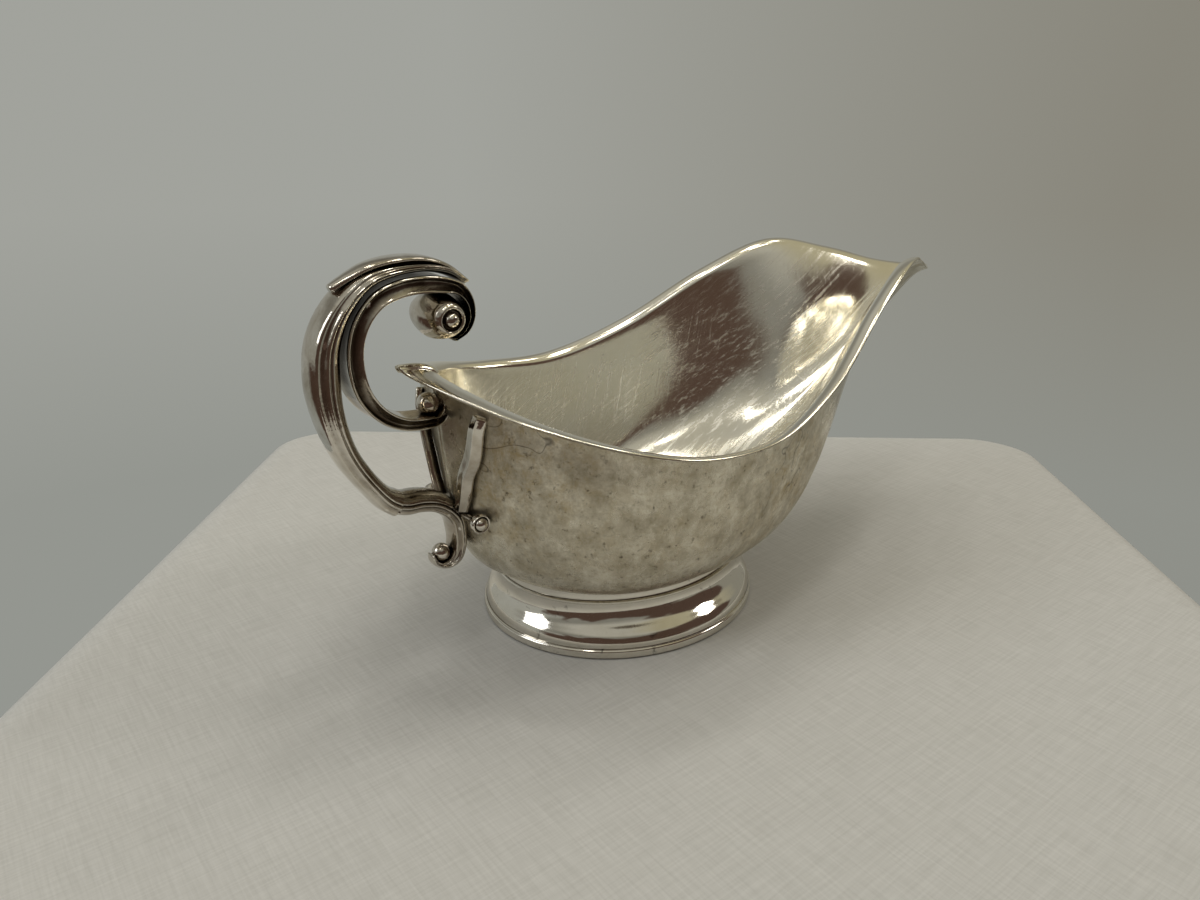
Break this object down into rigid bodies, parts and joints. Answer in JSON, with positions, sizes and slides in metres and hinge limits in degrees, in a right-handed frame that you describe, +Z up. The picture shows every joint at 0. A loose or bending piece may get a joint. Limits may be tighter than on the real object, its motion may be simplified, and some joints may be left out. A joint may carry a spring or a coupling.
{
  "type": "sauce boat",
  "caption": "Silver-plated sauce boat: boat-shaped bowl with a pointed pouring spout, oval pedestal foot and a cast double-scroll handle.",
  "frame": {"origin": "middle of the bounding box's bottom face, on the surface the foot stands on", "axes": "+X runs from the handle to the pouring spout, +Y to the left of that, +Z up"},
  "size_m": [0.2158, 0.1004, 0.0997],
  "materials": {
    "bowl_silver": "worn silver plate, mottled outside and polished inside",
    "foot_silver": "polished silver plate",
    "cast_silver": "cast silver plate, dark in the hollows"
  },
  "bodies": {
    "root": {"bowl": "bowl_silver", "foot_collar": "foot_silver", "foot": "foot_silver", "foot_band": "foot_silver", "handle_outer_scroll": "cast_silver", "handle_inner_scroll": "cast_silver", "thumb_leaf": "cast_silver", "volute": "cast_silver", "rim_bead": "cast_silver", "tail_scroll": "cast_silver", "tail_bead": "cast_silver", "volute_eye_left": "cast_silver", "volute_eye_right": "cast_silver", "strut_left": "cast_silver", "strut_right": "cast_silver", "side_button_left": "cast_silver", "side_button_right": "cast_silver", "side_bead_left": "cast_silver", "side_bead_right": "cast_silver"}
  },
  "joints": []
}
